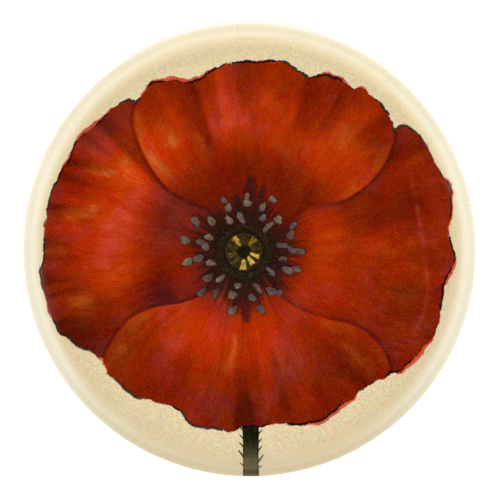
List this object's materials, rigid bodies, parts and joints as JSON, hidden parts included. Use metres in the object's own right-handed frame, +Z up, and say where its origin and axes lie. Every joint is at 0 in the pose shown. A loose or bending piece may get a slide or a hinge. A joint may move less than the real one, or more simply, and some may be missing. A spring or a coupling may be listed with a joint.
{
  "type": "decoupage glass plate",
  "caption": "Shallow round clear glass plate with a botanical flower print glued under it, a paper backing and soft bumpers to rest on.",
  "frame": {"origin": "on the surface the plate stands on, under the middle of the plate", "axes": "+Z up, square to the well and along the plate's axis; +Y towards the top of the picture; +X to its right"},
  "size_m": [0.146, 0.146, 0.011],
  "materials": {
    "clear_glass": "clear pressed glass, polished edge",
    "printed_paper": "aged cream paper with a hand-coloured red poppy",
    "backing_paper": "plain varnished paper",
    "bumper_rubber": "soft clear rubber"
  },
  "bodies": {
    "root": {"glass_plate": "clear_glass", "print_sheet": "printed_paper", "backing_sheet": "backing_paper", "bumper_1": "bumper_rubber", "bumper_2": "bumper_rubber", "bumper_3": "bumper_rubber", "bumper_4": "bumper_rubber"}
  },
  "joints": []
}
